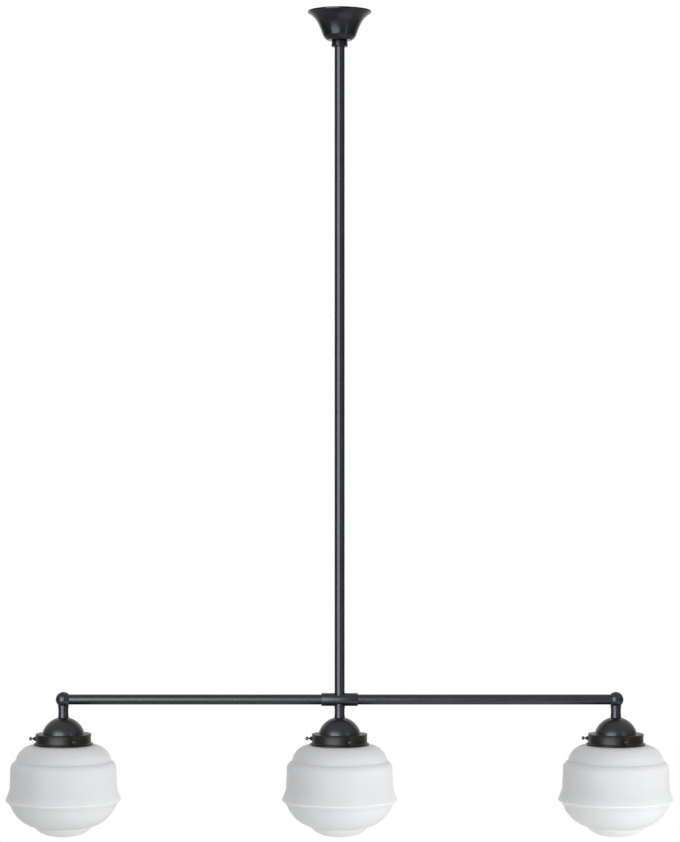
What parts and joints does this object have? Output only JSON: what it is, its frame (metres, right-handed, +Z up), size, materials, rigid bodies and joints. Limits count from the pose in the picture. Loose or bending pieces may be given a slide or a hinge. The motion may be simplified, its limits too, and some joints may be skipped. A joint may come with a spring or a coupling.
{
  "type": "linear island pendant light",
  "caption": "Linear bar pendant hung by one rod from a ceiling canopy, with opal glass shades held by thumb screws in galleries.",
  "frame": {"origin": "middle of the canopy on the ceiling plane, midway between the ceiling screws", "axes": "+Z up to the ceiling, X along the bar, -Y towards the viewer of the picture"},
  "size_m": [1.0512, 0.1812, 1.3],
  "materials": {
    "black_paint": "satin bluish black powder coat",
    "gloss_black": "gloss black enamel",
    "spun_black": "satin brown-black lacquer over spun steel",
    "zinc_steel": "zinc plated",
    "bare_brass": "plain machined",
    "opal_glass": "opal white, satin gloss outside",
    "bulb_glass": "frosted",
    "bulb_cap": "rolled thread, dull",
    "holder": "matt black thermoset",
    "terminal_body": "matt white",
    "lead_sheath": "soft white insulation"
  },
  "bodies": {
    "frame": {"arm_end_bushes": "black_paint", "arm_left": "black_paint", "arm_nipples": "zinc_steel", "arm_right": "black_paint", "bracket_nuts": "zinc_steel", "ceiling_bracket": "zinc_steel", "centre_contacts": "bare_brass", "cross_sleeve": "black_paint", "dome_centre": "black_paint", "dome_left": "black_paint", "dome_right": "black_paint", "down_rod": "black_paint", "earth_screw": "bare_brass", "elbow_ball_left": "black_paint", "elbow_ball_right": "black_paint", "gallery_centre": "spun_black", "gallery_left": "spun_black", "gallery_right": "spun_black", "glass_shade_centre": "opal_glass", "glass_shade_left": "opal_glass", "glass_shade_right": "opal_glass", "lamp_nipples": "zinc_steel", "lamp_nuts": "zinc_steel", "lampholder_centre": "holder", "lampholder_left": "holder", "lampholder_right": "holder", "lead_centre": "lead_sheath", "lead_left": "lead_sheath", "lead_right": "lead_sheath", "rod_end_bushes": "black_paint", "screw_shells": "bare_brass", "sleeve_nipple": "zinc_steel", "stem_centre": "black_paint", "stem_left": "black_paint", "stem_right": "black_paint", "terminal_block": "terminal_body", "terminal_screws": "zinc_steel", "top_nipple": "zinc_steel"},
    "canopy": {"canopy": "black_paint"},
    "collar": {"canopy_collar": "gloss_black"},
    "collar_screw": {"collar_screw": "zinc_steel"},
    "bulb_left": {"bulb_cap_left": "bulb_cap", "bulb_globe_left": "bulb_glass"},
    "thumb_screw_left_1": {"thumb_screw_left_1": "spun_black"},
    "thumb_screw_left_2": {"thumb_screw_left_2": "spun_black"},
    "thumb_screw_left_3": {"thumb_screw_left_3": "spun_black"},
    "bulb_centre": {"bulb_cap_centre": "bulb_cap", "bulb_globe_centre": "bulb_glass"},
    "thumb_screw_centre_1": {"thumb_screw_centre_1": "spun_black"},
    "thumb_screw_centre_2": {"thumb_screw_centre_2": "spun_black"},
    "thumb_screw_centre_3": {"thumb_screw_centre_3": "spun_black"},
    "bulb_right": {"bulb_cap_right": "bulb_cap", "bulb_globe_right": "bulb_glass"},
    "thumb_screw_right_1": {"thumb_screw_right_1": "spun_black"},
    "thumb_screw_right_2": {"thumb_screw_right_2": "spun_black"},
    "thumb_screw_right_3": {"thumb_screw_right_3": "spun_black"}
  },
  "joints": [
    {"name": "collar_slide", "type": "slide", "parent": "frame", "child": "collar", "axis": [0, 0, -1], "range_m": [0, 1.01]},
    {"name": "canopy_slide", "type": "slide", "parent": "frame", "child": "canopy", "axis": [0, 0, -1], "range_m": [0, 1.01]},
    {"name": "collar_screw_slide", "type": "slide", "parent": "collar", "child": "collar_screw", "axis": [0, 1, 0], "range_m": [0, 0.002]},
    {"name": "bulb_left_slide", "type": "slide", "parent": "frame", "child": "bulb_left", "axis": [0, 0, -1], "range_m": [0, 0.024]},
    {"name": "thumb_screw_left_1_slide", "type": "slide", "parent": "frame", "child": "thumb_screw_left_1", "axis": [0.4115, -0.9114, 0], "range_m": [0, 0.006]},
    {"name": "thumb_screw_left_2_slide", "type": "slide", "parent": "frame", "child": "thumb_screw_left_2", "axis": [0.5835, 0.8121, 0], "range_m": [0, 0.006]},
    {"name": "thumb_screw_left_3_slide", "type": "slide", "parent": "frame", "child": "thumb_screw_left_3", "axis": [-0.9951, 0.0993, 0], "range_m": [0, 0.006]},
    {"name": "bulb_centre_slide", "type": "slide", "parent": "frame", "child": "bulb_centre", "axis": [0, 0, -1], "range_m": [0, 0.024]},
    {"name": "thumb_screw_centre_1_slide", "type": "slide", "parent": "frame", "child": "thumb_screw_centre_1", "axis": [0.3173, -0.9483, 0], "range_m": [0, 0.006]},
    {"name": "thumb_screw_centre_2_slide", "type": "slide", "parent": "frame", "child": "thumb_screw_centre_2", "axis": [0.6626, 0.749, 0], "range_m": [0, 0.006]},
    {"name": "thumb_screw_centre_3_slide", "type": "slide", "parent": "frame", "child": "thumb_screw_centre_3", "axis": [-0.9799, 0.1994, 0], "range_m": [0, 0.006]},
    {"name": "bulb_right_slide", "type": "slide", "parent": "frame", "child": "bulb_right", "axis": [0, 0, -1], "range_m": [0, 0.024]},
    {"name": "thumb_screw_right_1_slide", "type": "slide", "parent": "frame", "child": "thumb_screw_right_1", "axis": [0.2198, -0.9755, 0], "range_m": [0, 0.006]},
    {"name": "thumb_screw_right_2_slide", "type": "slide", "parent": "frame", "child": "thumb_screw_right_2", "axis": [0.7349, 0.6782, 0], "range_m": [0, 0.006]},
    {"name": "thumb_screw_right_3_slide", "type": "slide", "parent": "frame", "child": "thumb_screw_right_3", "axis": [-0.9548, 0.2974, 0], "range_m": [0, 0.006]}
  ],
  "couplings": [
    {"joint": "canopy_slide", "follows": "collar_slide", "ratio": 1}
  ]
}
